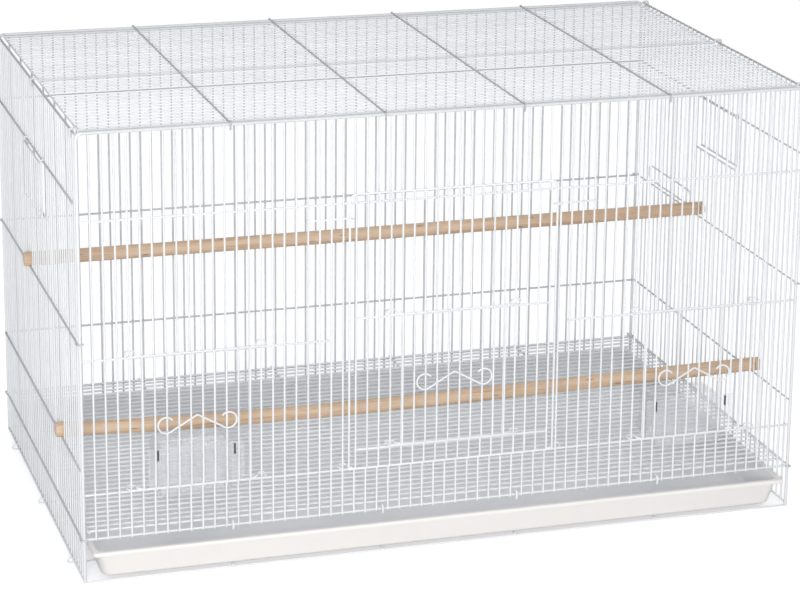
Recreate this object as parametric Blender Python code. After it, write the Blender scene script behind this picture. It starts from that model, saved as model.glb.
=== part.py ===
"""Wire flight cage with a sliding tray, four lifting doors and two nest-box doors.

Metres, +Z up. The front faces -Y. The origin is on the floor, under the middle of the
whole object. Wires stand in the model as square bars, close to their real thickness.
Places across the front are counted in spaces between bars from the left corner post,
and places along a side are counted in the same spaces from the front.
"""
import math

import bmesh
import bpy
from mathutils import Vector

# Overall sizes
PITCH = 0.01205             # from one bar to the next
SPACES_WIDE = 63            # spaces between bars across the front
SPACES_DEEP = 38            # spaces between bars along a side
TOP_LEVEL = 0.4600          # middle of the top wires

# Wire thicknesses
BAR = 0.0018                # thin upright and cross bars
RAIL = 0.0022               # cross wires of the panels and doors
POST = 0.0032               # corner posts
HOOK = 0.0015               # wire of the doors' end hooks

# Clearances
SEAT = 0.0003               # between pieces that rest on each other
SLIDE = 0.0005              # between a sliding door and what it slides on
HOOK_ROOM = 0.0004          # round a wire inside a hook
BESIDE = 0.00015            # between a thin bar and a wire laid beside it
HEAVY = BAR + 4 * BESIDE    # stiff bars, thick enough to reach the wires laid beside them
INSIDE = 0.0005             # how far a bar's end runs past the middle of its rail

# Levels of the front panel's cross wires
FLOOR_LEVEL = 0.0455        # lowest wire, over the tray slot
FEED_LEVEL = 0.0920         # foot of every door
CUP_HEAD_LEVEL = 0.2310     # head of the two cup doors
HEAD_DROP = 0.0880          # from the top wire down to the head of the large door

# Levels of the side and back panels' cross wires
NEST_DROP = 0.0710          # from the top wire down to the nest doors' hinge wire
PERCH_DROP = 0.2105         # from the top wire down to the upper perch's wire
LOW_PERCH_LEVEL = 0.1180
NEST_HEIGHT = 0.0570        # hinge wire to the foot of a nest door
SILL_DROP = 0.0025          # nest opening's sill below the foot of its door

# Doors, in spaces
CUP_GUIDE = 4               # first guide bar of a cup door
SMALL_SPAN = 11             # spaces between a small door's guide bars
LARGE_SPAN = 19             # spaces between the large door's guide bars
LEG_INSET = 0.45            # from a guide bar to the large door's side wire
INNER_INSET = 4             # from the large door's guide bar to the inner door's
CATCH_REACH = 3             # length of a door catch past the guide bar
NEST_START = 14             # bars at the two sides of a nest opening
NEST_END = 23
NEST_LAP = 0.35             # how far a nest door's side wires lie inside those bars

# Doors, in metres
LARGE_HEAD = 0.0105         # top rail of the large door above its opening
LARGE_CORNER = 0.0060       # bend at the large door's upper corners
INNER_FOOT = 0.0225         # inner opening's foot above the doors' foot level
CATCH_DROP = 0.0145         # door catches below the head of the large opening
HOOK_REACH = 0.0030         # from a guide bar to the far side of a hook
HOOK_RETURN = 0.0015        # how far a hook's end comes back past the guide bar
NEST_CLEAR = 0.00245        # from the hinge wire to a nest door's side wires
NEST_TOP = 0.0060           # hinge wire to a nest door's top rail

# Scroll handles
HANDLE_HALF = 0.0402        # middle to the far side of a curl
HANDLE_CURL = 0.0087        # radius of a curl
HANDLE_PEAK = 0.0082        # height of the peak above the curls' middle
HANDLE_RISE = 0.0665        # curls' middle above the door's foot

# Roof, floor grille and base
EDGE_INSET = 0.0060         # roof and grille edges from the corner posts' middle
CROSS_PLACES = (12.5, 25.5) # front-to-back wires, mirrored on the right
STIFF_PLACE = 19            # roof and grille bar that is stiff in the middle
BASE_PLACES = (4.5, 18.5, 32.5)
BASE_LOOP = 0.0080          # how far the base wires' loops stand out
CLAW_DROP = 0.0046          # length of the hooks over the lowest front wire

# Tray
TRAY_HEIGHT = 0.0300
TRAY_SIDE_ROOM = 0.0071     # rim to the middle of a corner post
TRAY_PROUD = 0.0100         # rim in front of the front panel's middle
TRAY_BACK_ROOM = 0.0050
TRAY_WALL = 0.0020
TRAY_LIP = 0.0050
TRAY_LIP_HEIGHT = 0.0036
TRAY_DRAFT = 0.0060         # how much a wall leans in from lip to bottom
RIM_CORNER = 0.0045
WALL_CORNER = 0.0090

# Perches
PERCH_RADIUS = 0.0075
PERCH_PROUD = 0.0085        # past the middle of a side panel
PERCH_NECK = 0.0048         # half the width left between the side notches
NOTCH_HALF = 0.0014
UPPER_PERCH_PLACE = 22.5
LOWER_PERCH_PLACE = 8.5

# Cups
CUP_PLACE = 9.5             # middle of a cup, in spaces from the corner post
CUP_HALF = 0.0370
CUP_DEPTH = 0.0545
CUP_TOP = 0.0390            # top above the feed wire
CUP_FOOT = 0.0115           # bottom below the feed wire
CUP_WALL = 0.0016
EAR = 0.0125                # ear past the cup's side
EAR_THICK = 0.0024
EAR_FRONT = 0.0002          # ears' face in front of the panel's middle
EAR_SLOT = 0.0020
SLOT_MARGIN = 0.0030
CUP_LIP = 0.0250            # height of the inner side's wall
CUP_ROUND = 0.0030

# Wire loop on the right panel
LOOP_START = 23.6
LOOP_END = 34.0
LOOP_RISE = 0.0080          # loop's lower run above the perch wire
LOOP_RADIUS = 0.0085

# Worked out from the sizes above
WIDTH = SPACES_WIDE * PITCH
DEPTH = SPACES_DEEP * PITCH
LEFT = -WIDTH / 2
RIGHT = WIDTH / 2
LARGE_LAYER = RAIL / 2 + SLIDE + HOOK + HOOK_ROOM + BAR / 2
SMALL_LAYER = RAIL + SLIDE
HANDLE_LAYER = BAR + SEAT
FRONT_PROUD = LARGE_LAYER + SMALL_LAYER + HANDLE_LAYER + BAR / 2
CLASP = POST / 2 + HOOK_ROOM + BAR / 2
BACK_PROUD = CLASP + BAR / 2
FRONT = -DEPTH / 2 + (FRONT_PROUD - BACK_PROUD) / 2
BACK = FRONT + DEPTH
SIDE_LAYER = BAR + BESIDE
HEAD_LEVEL = TOP_LEVEL - HEAD_DROP
NEST_LEVEL = TOP_LEVEL - NEST_DROP
PERCH_LEVEL = TOP_LEVEL - PERCH_DROP
SILL_LEVEL = NEST_LEVEL - NEST_HEIGHT - SILL_DROP
DOOR_LIFT = RAIL / 2 + SEAT + HOOK / 2
DOOR_FOOT = FEED_LEVEL + DOOR_LIFT
SMALL_HEIGHT = CUP_HEAD_LEVEL - FEED_LEVEL
LARGE_GUIDE = (SPACES_WIDE - LARGE_SPAN) // 2
LARGE_END = LARGE_GUIDE + LARGE_SPAN
INNER_GUIDE = LARGE_GUIDE + INNER_INSET
RIGHT_CUP_GUIDE = SPACES_WIDE - CUP_GUIDE - SMALL_SPAN
INNER_FOOT_LEVEL = FEED_LEVEL + INNER_FOOT
INNER_HEAD_LEVEL = INNER_FOOT_LEVEL + SMALL_HEIGHT
LARGE_TOP = HEAD_LEVEL + LARGE_HEAD
LARGE_Y = FRONT - LARGE_LAYER
BASE_LOW = BAR / 2
BASE_HIGH = BASE_LOW + BAR + SEAT
FOOT_LEVEL = BASE_LOW + BAR / 2 + SEAT + RAIL / 2
TRAY_BOTTOM = BASE_HIGH + BAR / 2 + SEAT
GRILLE_CROSS = FLOOR_LEVEL + RAIL / 2 + SEAT + BAR / 2
ROOF_CROSS = TOP_LEVEL + RAIL / 2 + SEAT + BAR / 2

WIRE_WHITE = (0.86, 0.87, 0.88, 1)
TRAY_WHITE = (0.80, 0.79, 0.76, 1)
WOOD = (0.62, 0.42, 0.22, 1)
CLEAR = (0.85, 0.90, 0.92, 1)


def across(place):
    """X of a place counted in spaces from the left corner post."""
    return LEFT + place * PITCH


def inward(place):
    """Y of a place counted in spaces from the front."""
    return FRONT + place * PITCH


def add_wire(bm, points, thick, normal=(0, 0, 1), closed=False):
    """Sweep a square section along a flat path, mitred at the bends."""
    points = [Vector(p) for p in points]
    normal = Vector(normal)
    last = len(points) - 1
    rings = []
    for i, point in enumerate(points):
        before = points[i] - points[i - 1] if i or closed else points[1] - points[0]
        after = points[(i + 1) % len(points)] - point if i < last or closed else before
        before.normalize()
        after.normalize()
        along = (before + after).normalized()
        side = along.cross(normal) * (thick / 2 / max(along.dot(before), 0.3))
        rise = normal * (thick / 2)
        corners = (side + rise, side - rise, -side - rise, -side + rise)
        rings.append([bm.verts.new(point + corner) for corner in corners])
    pairs = list(zip(rings, rings[1:]))
    if closed:
        pairs.append((rings[-1], rings[0]))
    else:
        bm.faces.new(reversed(rings[0]))
        bm.faces.new(rings[-1])
    for ring, following in pairs:
        for i in range(4):
            j = (i + 1) % 4
            bm.faces.new((ring[i], ring[j], following[j], following[i]))


def add_box(bm, low, high):
    """A box between two corners."""
    middle = (Vector(low) + Vector(high)) / 2
    size = Vector(high) - Vector(low)
    made = bmesh.ops.create_cube(bm, size=1)["verts"]
    bmesh.ops.scale(bm, vec=size, verts=made)
    bmesh.ops.translate(bm, vec=middle, verts=made)


def material(name, color, roughness, metallic=0.0, transmission=0.0):
    """One Principled material for one sub-part."""
    made = bpy.data.materials.new(name)
    made.use_nodes = True
    shader = made.node_tree.nodes["Principled BSDF"]
    shader.inputs["Base Color"].default_value = color
    shader.inputs["Roughness"].default_value = roughness
    shader.inputs["Metallic"].default_value = metallic
    shader.inputs["Transmission Weight"].default_value = transmission
    made.diffuse_color = color
    return made


def place_mesh(name, bm, pivot=(0, 0, 0), hidden=False):
    """Turn a bmesh into an object whose origin is on its pivot."""
    bmesh.ops.translate(bm, vec=-Vector(pivot), verts=bm.verts)
    bmesh.ops.recalc_face_normals(bm, faces=bm.faces)
    mesh = bpy.data.meshes.new(name)
    bm.to_mesh(mesh)
    bm.free()
    made = bpy.data.objects.new(name, mesh)
    made.location = pivot
    bpy.context.scene.collection.objects.link(made)
    if hidden:
        made.hide_render = True
        made.display_type = "WIRE"
    return made


def combine(target, other, operation):
    """Add a Boolean modifier that joins or cuts with a guide object."""
    step = target.modifiers.new(operation.lower() + "_" + other.name, "BOOLEAN")
    step.object = other
    step.operation = operation
    step.solver = "EXACT"


def wire_piece(name, layers, pivot=(0, 0, 0)):
    """Join layers of wires into one welded piece. Wires of one layer don't touch."""
    made = None
    for number, wires in enumerate(layers):
        bm = bmesh.new()
        for wire in wires:
            add_wire(bm, *wire)
        if made is None:
            made = place_mesh(name, bm, pivot)
            made.data.materials.append(material(name, WIRE_WHITE, 0.35))
        else:
            guide = place_mesh(name + "_layer_" + str(number), bm, pivot, hidden=True)
            combine(made, guide, "UNION")
    return made


def front_wire(first, last, y, level, thick=RAIL):
    """A wire that runs across the front or the back."""
    return ([(first, y, level), (last, y, level)], thick)


def upright(x, y, low, high, thick=BAR):
    """A standing wire."""
    return ([(x, y, low), (x, y, high)], thick, (0, 1, 0))


def side_wire(x, first, last, level, thick=RAIL):
    """A wire that runs from front to back."""
    return ([(x, first, level), (x, last, level)], thick)


def front_bars():
    """Upright bars of the front panel, left out where the doors are."""
    openings = [
        (CUP_GUIDE + 1, CUP_GUIDE + SMALL_SPAN - 1, CUP_HEAD_LEVEL),
        (RIGHT_CUP_GUIDE + 1, RIGHT_CUP_GUIDE + SMALL_SPAN - 1, CUP_HEAD_LEVEL),
        (LARGE_GUIDE, LARGE_END, HEAD_LEVEL),
    ]
    bars = []
    for place in range(1, SPACES_WIDE):
        over = [head for first, last, head in openings if first < place < last]
        runs = [(FLOOR_LEVEL, TOP_LEVEL)]
        if over:
            runs = [(FLOOR_LEVEL, FEED_LEVEL), (over[0], TOP_LEVEL)]
        for low, high in runs:
            bars.append(upright(across(place), FRONT, low - INSIDE, high + INSIDE))
    return bars


def build_front_panel():
    posts = [upright(x, FRONT, 0, TOP_LEVEL + POST / 2, POST) for x in (LEFT, RIGHT)]
    levels = (FLOOR_LEVEL, FEED_LEVEL, HEAD_LEVEL, TOP_LEVEL)
    rails = [front_wire(LEFT, RIGHT, FRONT, level) for level in levels]
    past = HEAVY / 2
    rails.append(front_wire(LEFT, across(LARGE_GUIDE - 1) + past, FRONT, CUP_HEAD_LEVEL))
    rails.append(front_wire(across(LARGE_END + 1) - past, RIGHT, FRONT, CUP_HEAD_LEVEL))
    wire_piece("front_panel", [posts, rails, front_bars()])


def build_back_panel():
    posts = [upright(x, BACK, 0, TOP_LEVEL + POST / 2, POST) for x in (LEFT, RIGHT)]
    rails = [front_wire(LEFT, RIGHT, BACK, level) for level in (FOOT_LEVEL, TOP_LEVEL)]
    for level in (FLOOR_LEVEL, LOW_PERCH_LEVEL, PERCH_LEVEL, NEST_LEVEL):
        rails.append(front_wire(LEFT, RIGHT, BACK - SIDE_LAYER, level, BAR))
    bars = [
        upright(across(place), BACK, FOOT_LEVEL - INSIDE, TOP_LEVEL + INSIDE)
        for place in range(1, SPACES_WIDE)
    ]
    wire_piece("back_panel", [posts, rails, bars])


def clasp_path(x, outward):
    """The upper perch's wire, hooked round the posts at its two ends."""
    beside = x + outward * SIDE_LAYER
    past = x + outward * CLASP
    inside = x - outward * CLASP
    turn = CLASP + BAR
    flat = [
        (inside, FRONT - CLASP),
        (past, FRONT - CLASP),
        (past, FRONT + turn),
        (beside, FRONT + 2 * turn),
        (beside, BACK - 2 * turn),
        (past, BACK - turn),
        (past, BACK + CLASP),
        (inside, BACK + CLASP),
    ]
    return [(px, py, PERCH_LEVEL) for px, py in flat]


def build_side_panel(name, x, outward):
    room = POST / 2 + HOOK_ROOM
    edges = [
        side_wire(x, FRONT + room, BACK - room, level) for level in (FOOT_LEVEL, TOP_LEVEL)
    ]
    sill_start = inward(NEST_START) - HEAVY / 2
    edges.append(side_wire(x, sill_start, inward(NEST_END) + HEAVY / 2, SILL_LEVEL))
    head_start = inward(NEST_START + 1) - HEAVY / 2
    head_end = inward(NEST_END - 1) + HEAVY / 2
    edges.append(side_wire(x, head_start, head_end, NEST_LEVEL, HEAVY))
    heavy_places = (1, NEST_START - 2, NEST_END + 2, SPACES_DEEP - 1)
    bars = []
    for place in range(1, SPACES_DEEP):
        runs = [(FOOT_LEVEL, TOP_LEVEL)]
        if NEST_START < place < NEST_END:
            runs = [(FOOT_LEVEL, SILL_LEVEL), (NEST_LEVEL, TOP_LEVEL)]
        thick = HEAVY if place in heavy_places else BAR
        past = HEAVY / 2 + BESIDE if place in heavy_places else INSIDE
        for low, high in runs:
            bars.append(upright(x, inward(place), low - past, high + past, thick))
    beside = x + outward * SIDE_LAYER
    outer = [
        side_wire(beside, FRONT + room, BACK - room, level, BAR)
        for level in (FLOOR_LEVEL, LOW_PERCH_LEVEL, NEST_LEVEL)
    ]
    outer.append((clasp_path(x, outward), BAR))
    wire_piece(name, [edges, bars, outer])


def grid_parts(level, stiff):
    """Edges and left-to-right bars that the roof and the floor grille share."""
    room = RAIL / 2 + HOOK_ROOM
    edge = RIGHT - EDGE_INSET
    edges = [side_wire(x, FRONT + room, BACK - room - BAR, level) for x in (-edge, edge)]
    bars = []
    for place in range(1, SPACES_DEEP):
        heavy = place in stiff
        thick = HEAVY if heavy else BAR
        reach = edge + (HEAVY / 2 + BESIDE if heavy else INSIDE)
        bars.append(front_wire(-reach, reach, inward(place), level, thick))
    return edges, bars


def cross_places():
    return [*CROSS_PLACES, *(SPACES_WIDE - place for place in reversed(CROSS_PLACES))]


def build_roof():
    level = ROOF_CROSS - SIDE_LAYER
    edges, bars = grid_parts(level, (1, SPACES_DEEP - 1, STIFF_PLACE))
    over = TOP_LEVEL + RAIL / 2 + SEAT + HEAVY / 2
    outside = RIGHT + RAIL / 2 + HOOK_ROOM + HEAVY / 2
    half = [
        (RIGHT - EDGE_INSET + HEAVY, level),
        (RIGHT - RAIL, over),
        (outside, over),
        (outside, TOP_LEVEL - RAIL),
    ]
    y = inward(STIFF_PLACE)
    path = [(-x, y, z) for x, z in reversed(half)] + [(x, y, z) for x, z in half]
    bars[STIFF_PLACE - 1] = (path, HEAVY, (0, 1, 0))
    crosses = [
        side_wire(across(place), FRONT - RAIL / 2, BACK + RAIL / 2, ROOF_CROSS, BAR)
        for place in cross_places()
    ]
    wire_piece("roof_panel", [edges, bars, crosses])


def build_floor_grille():
    level = GRILLE_CROSS + SIDE_LAYER
    edges, bars = grid_parts(level, (1, STIFF_PLACE, SPACES_DEEP - 1))
    ahead = FRONT - RAIL / 2 - HOOK_ROOM - BAR / 2
    crosses = []
    for place in cross_places():
        x = across(place)
        path = [
            (x, BACK - BAR / 2 - SLIDE, GRILLE_CROSS),
            (x, ahead, GRILLE_CROSS),
            (x, ahead, GRILLE_CROSS - CLAW_DROP),
        ]
        crosses.append((path, BAR, (1, 0, 0)))
    wire_piece("floor_grille", [edges, bars, crosses])


def build_base_wires():
    """Floor wires under the tray. The looped ends hold the side panels' bottom wires."""
    over = FOOT_LEVEL + RAIL / 2 + HOOK_ROOM + BAR / 2
    half = [
        (RIGHT + BASE_LOOP - over / 2, BASE_LOW),
        (RIGHT + BASE_LOOP, (BASE_LOW + over) / 2),
        (RIGHT + BASE_LOOP - over / 2, over),
        (RIGHT - RAIL, over),
    ]
    for name, place in zip(("front", "middle", "back"), BASE_PLACES):
        y = inward(place)
        path = [(-x, y, z) for x, z in reversed(half)] + [(x, y, z) for x, z in half]
        wire_piece("base_wire_" + name, [[(path, BAR, (0, 1, 0))]])
    room = POST / 2 + SEAT
    wire_piece("floor_wire", [[front_wire(LEFT + room, RIGHT - room, FRONT, BASE_LOW, BAR)]])
    end = BACK - RAIL / 2 - HOOK_ROOM
    for number, place in enumerate(cross_places(), start=1):
        run = side_wire(across(place), FRONT - BAR / 2, end, BASE_HIGH, BAR)
        wire_piece("runner_" + str(number), [[run]])


def hook(guide, direction, y, guide_y, level):
    """A hook from a rail's end round a guide bar. Direction is -1 to the left."""
    behind = guide_y + BAR / 2 + HOOK_ROOM + HOOK / 2
    start = guide - direction * (HOOK_REACH + BAR)
    side = guide + direction * HOOK_REACH
    end = guide - direction * HOOK_RETURN
    points = [(start, y), (side, y), (side, behind), (end, behind)]
    return ([(px, py, level) for px, py in points], HOOK)


def build_small_door(name, guide, guide_y, foot_wire):
    """A lifting door hooked on two guide bars. Its origin is at the left foot hook."""
    y = guide_y - SMALL_LAYER
    foot = foot_wire + DOOR_LIFT
    head = foot + SMALL_HEIGHT
    left, right = across(guide), across(guide + SMALL_SPAN)
    rails = [front_wire(left + HOOK_REACH, right - HOOK_REACH, y, z) for z in (foot, head)]
    bars = [
        upright(across(place), y, foot - INSIDE, head + INSIDE)
        for place in range(guide + 1, guide + SMALL_SPAN)
    ]
    for level in (foot, head):
        bars.append(hook(left, -1, y, guide_y, level))
        bars.append(hook(right, 1, y, guide_y, level))
    wire_piece(name, [rails, bars], (left, y, foot))
    build_handle(name + "_handle", guide + SMALL_SPAN / 2, y - HANDLE_LAYER, foot)


def build_handle(name, place, y, foot):
    """A scroll-shaped handle: a peak in the middle and a curl at each end."""
    middle, level = across(place), foot + HANDLE_RISE
    centre = HANDLE_HALF - HANDLE_CURL
    half = [(0, HANDLE_PEAK)]
    for step in range(9):
        angle = math.radians(240 + step * 250 / 8)
        half.append((centre + HANDLE_CURL * math.cos(angle), HANDLE_CURL * math.sin(angle)))
    path = [(-x, z) for x, z in reversed(half[1:])] + half
    points = [(middle + x, y, level + z) for x, z in path]
    wire_piece(name, [[(points, BAR, (0, 1, 0))]], (middle, y, level))


def build_large_door():
    """The large lifting door, with the opening of the inner door in it."""
    left, right = across(LARGE_GUIDE), across(LARGE_END)
    leg = LEG_INSET * PITCH
    corner = []
    for step in range(4):
        angle = math.radians(step * 30)
        x = right - leg - LARGE_CORNER * (1 - math.cos(angle))
        corner.append((x, LARGE_TOP - LARGE_CORNER * (1 - math.sin(angle))))
    half = [(right - leg, DOOR_FOOT), *corner]
    arch = [(x, LARGE_Y, z) for x, z in half]
    arch += [(left + right - x, LARGE_Y, z) for x, z in reversed(half)]
    first, last = LARGE_GUIDE + 1, LARGE_END - 1
    frame = [(arch, RAIL, (0, 1, 0))]
    for level in (INNER_FOOT_LEVEL, INNER_HEAD_LEVEL):
        past = HEAVY / 2
        frame.append(front_wire(across(first) - past, across(last) + past, LARGE_Y, level))
    foot_rail = [front_wire(left + leg - HEAVY, right - leg + HEAVY, LARGE_Y, DOOR_FOOT, HEAVY)]
    bars = []
    for place in range(first, last + 1):
        runs = [(DOOR_FOOT, LARGE_TOP)]
        if INNER_GUIDE + 1 < place < INNER_GUIDE + SMALL_SPAN - 1:
            runs = [(DOOR_FOOT, INNER_FOOT_LEVEL), (INNER_HEAD_LEVEL, LARGE_TOP)]
        for low, high in runs:
            bars.append(upright(across(place), LARGE_Y, low - INSIDE, high + INSIDE))
    bars.append(hook(left, -1, LARGE_Y, FRONT, DOOR_FOOT))
    bars.append(hook(right, 1, LARGE_Y, FRONT, DOOR_FOOT))
    wire_piece("large_door", [frame, foot_rail, bars], (left, LARGE_Y, DOOR_FOOT))


def build_door_catch(name, guide, direction):
    """A wire on the panel whose hooked end guides the large door's side wire."""
    level = HEAD_LEVEL - CATCH_DROP
    leg = across(guide) + direction * LEG_INSET * PITCH
    beside = leg + direction * (RAIL / 2 + HOOK_ROOM + SLIDE + BAR / 2)
    behind = FRONT - BAR - SEAT
    ahead = LARGE_Y - RAIL / 2 - SLIDE - BAR / 2
    points = [
        (across(guide - direction * CATCH_REACH) - direction * RAIL, behind, level),
        (beside, behind, level),
        (beside, ahead, level),
        (leg - direction * RAIL, ahead, level),
    ]
    wire_piece(name, [[(points, BAR)]])


def build_nest_door(name, x, outward):
    """A small flap hung by two hooks on the side panel's upper wire."""
    axis = x + outward * SIDE_LAYER
    hang = axis + outward * NEST_CLEAR
    tip = axis - outward * BAR / 3
    foot = NEST_LEVEL - NEST_HEIGHT
    head = NEST_LEVEL - NEST_TOP
    over = NEST_LEVEL + NEST_CLEAR
    sides = (inward(NEST_START + NEST_LAP), inward(NEST_END - NEST_LAP))
    rails = [side_wire(hang, sides[0] - RAIL, sides[1] + RAIL, z) for z in (foot, head)]
    uprights = [
        upright(hang, inward(place), foot - INSIDE, head + INSIDE)
        for place in range(NEST_START + 1, NEST_END)
    ]
    for y in sides:
        path = [(hang, y, foot - INSIDE), (hang, y, over), (tip, y, over)]
        uprights.append((path, BAR, (0, 1, 0)))
    wire_piece(name, [rails, uprights], (axis, sides[0], NEST_LEVEL))


def rounded_outline(bm, half_x, front, back, radius, z, steps=3):
    """One ring of vertices round a rectangle with round corners."""
    corners = ((1, back, 0), (-1, back, 90), (-1, front, 180), (1, front, 270))
    ring = []
    for side, edge, start in corners:
        centre_x = side * (half_x - radius)
        centre_y = edge - radius if edge > front else edge + radius
        for step in range(steps + 1):
            angle = math.radians(start + step * 90 / steps)
            x = centre_x + radius * math.cos(angle)
            ring.append(bm.verts.new((x, centre_y + radius * math.sin(angle), z)))
    return ring


def build_tray():
    """The sliding tray: leaning walls, round corners and a turned-out lip."""
    half = RIGHT - TRAY_SIDE_ROOM
    front, back = FRONT - TRAY_PROUD, BACK - TRAY_BACK_ROOM
    top = TRAY_BOTTOM + TRAY_HEIGHT
    sections = [
        (TRAY_LIP + TRAY_DRAFT, TRAY_BOTTOM, WALL_CORNER),
        (TRAY_LIP, top - TRAY_LIP_HEIGHT, WALL_CORNER),
        (0, top - TRAY_LIP_HEIGHT, RIM_CORNER),
        (0, top, RIM_CORNER),
        (TRAY_LIP + TRAY_WALL, top, WALL_CORNER),
        (TRAY_LIP + TRAY_DRAFT + TRAY_WALL, TRAY_BOTTOM + TRAY_WALL, WALL_CORNER),
    ]
    bm = bmesh.new()
    rings = []
    for inset, z, radius in sections:
        rings.append(rounded_outline(bm, half - inset, front + inset, back - inset, radius, z))
    for ring, following in zip(rings, rings[1:]):
        for i in range(len(ring)):
            j = (i + 1) % len(ring)
            bm.faces.new((ring[i], ring[j], following[j], following[i]))
    bm.faces.new(reversed(rings[0]))
    bm.faces.new(rings[-1])
    tray = place_mesh("tray", bm, (0, front, TRAY_BOTTOM))
    tray.data.materials.append(material("tray", TRAY_WHITE, 0.4))


def build_perch(name, place, wire_level):
    """A dowel that rests on two side wires and is notched to fit between two bars."""
    y, z = inward(place), wire_level + BAR / 2 + SEAT + PERCH_RADIUS
    bm = bmesh.new()
    length = WIDTH + 2 * PERCH_PROUD
    bmesh.ops.create_cone(
        bm, cap_ends=True, segments=20, radius1=PERCH_RADIUS, radius2=PERCH_RADIUS, depth=length
    )
    for vert in bm.verts:
        vert.co = Vector((vert.co.z, vert.co.y, -vert.co.x))
    bmesh.ops.translate(bm, vec=(0, y, z), verts=bm.verts)
    perch = place_mesh(name, bm, (0, y, z))
    perch.data.materials.append(material(name, WOOD, 0.7))
    perch.data.shade_smooth()
    perch.data.set_sharp_from_angle(angle=math.radians(40))
    bm = bmesh.new()
    for x in (LEFT, RIGHT):
        for side in (-1, 1):
            near, far = y + side * PERCH_NECK, y + side * 2 * PERCH_RADIUS
            low = (x - NOTCH_HALF, min(near, far), z - 2 * PERCH_RADIUS)
            add_box(bm, low, (x + NOTCH_HALF, max(near, far), z + 2 * PERCH_RADIUS))
    combine(perch, place_mesh(name + "_notches", bm, (0, y, z), hidden=True), "DIFFERENCE")


def build_cup(name, place):
    """A clear hooded cup: it hangs by two slotted ears on the feed wire."""
    x = across(place)
    front = FRONT + RAIL / 2 + HOOK_ROOM
    back = front + CUP_DEPTH
    low, high = FEED_LEVEL - CUP_FOOT, FEED_LEVEL + CUP_TOP
    bm = bmesh.new()
    add_box(bm, (x - CUP_HALF, front, low), (x + CUP_HALF, back, high))
    bmesh.ops.bevel(bm, geom=bm.edges[:], offset=CUP_ROUND, segments=2, affect="EDGES", profile=0.5)
    cup = place_mesh(name, bm, (x, front, low))
    cup.data.materials.append(material(name, CLEAR, 0.1, transmission=0.9))
    bm = bmesh.new()
    wide = CUP_HALF + EAR
    ear_foot = FEED_LEVEL + RAIL / 2 + SEAT
    ear_back = FRONT - EAR_FRONT + EAR_THICK
    ear_head = high - CUP_ROUND - SEAT
    add_box(bm, (x - wide, FRONT - EAR_FRONT, ear_foot), (x + wide, ear_back, ear_head))
    combine(cup, place_mesh(name + "_ears", bm, (x, front, low), hidden=True), "UNION")
    bm = bmesh.new()
    room = CUP_HALF - CUP_WALL
    inner_low = (x - room, front + CUP_WALL, low + CUP_WALL)
    add_box(bm, inner_low, (x + room, back - CUP_WALL, high - CUP_WALL))
    combine(cup, place_mesh(name + "_inside", bm, (x, front, low), hidden=True), "DIFFERENCE")
    bm = bmesh.new()
    reach = room - CUP_ROUND
    mouth_low = (x - reach, back - 2 * CUP_WALL, low + CUP_LIP)
    add_box(bm, mouth_low, (x + reach, back + CUP_WALL, high - 2 * CUP_WALL))
    for side in (-1, 1):
        middle = x + side * (CUP_HALF + EAR_SLOT)
        slot_low = (middle - EAR_SLOT / 2, FRONT - 2 * EAR_THICK, ear_foot + SLOT_MARGIN)
        add_box(bm, slot_low, (middle + EAR_SLOT / 2, front + CUP_ROUND, ear_head - SLOT_MARGIN))
    combine(cup, place_mesh(name + "_cuts", bm, (x, front, low), hidden=True), "DIFFERENCE")


def build_wire_loop():
    """The long flat loop on the inner side of the right panel."""
    x = RIGHT - (BAR + HEAVY) / 2 - SEAT     # clear of the stouter bar beside the nest door
    centre = PERCH_LEVEL + LOOP_RISE + LOOP_RADIUS
    first, last = inward(LOOP_START) + LOOP_RADIUS, inward(LOOP_END) - LOOP_RADIUS
    points = []
    for end, start in ((last, -90), (first, 90)):
        for step in range(5):
            angle = math.radians(start + step * 45)
            y = end + LOOP_RADIUS * math.cos(angle)
            points.append((x, y, centre + LOOP_RADIUS * math.sin(angle)))
    wire_piece("wire_loop", [[(points, BAR, (1, 0, 0), True)]])


def main():
    for item in list(bpy.data.objects):
        bpy.data.objects.remove(item)
    build_front_panel()
    build_back_panel()
    build_side_panel("left_panel", LEFT, -1)
    build_side_panel("right_panel", RIGHT, 1)
    build_roof()
    build_floor_grille()
    build_base_wires()
    build_large_door()
    build_small_door("inner_door", INNER_GUIDE, LARGE_Y, INNER_FOOT_LEVEL)
    build_small_door("left_cup_door", CUP_GUIDE, FRONT, FEED_LEVEL)
    build_small_door("right_cup_door", RIGHT_CUP_GUIDE, FRONT, FEED_LEVEL)
    build_door_catch("left_door_catch", LARGE_GUIDE, 1)
    build_door_catch("right_door_catch", LARGE_END, -1)
    build_nest_door("left_nest_door", LEFT, -1)
    build_nest_door("right_nest_door", RIGHT, 1)
    build_tray()
    build_perch("upper_perch", UPPER_PERCH_PLACE, PERCH_LEVEL)
    build_perch("lower_perch", LOWER_PERCH_PLACE, LOW_PERCH_LEVEL)
    build_cup("left_cup", CUP_PLACE)
    build_cup("right_cup", SPACES_WIDE - CUP_PLACE)
    build_wire_loop()


main()
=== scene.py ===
import math
import random

import bmesh
import bpy
from mathutils import Matrix, Vector


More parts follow.
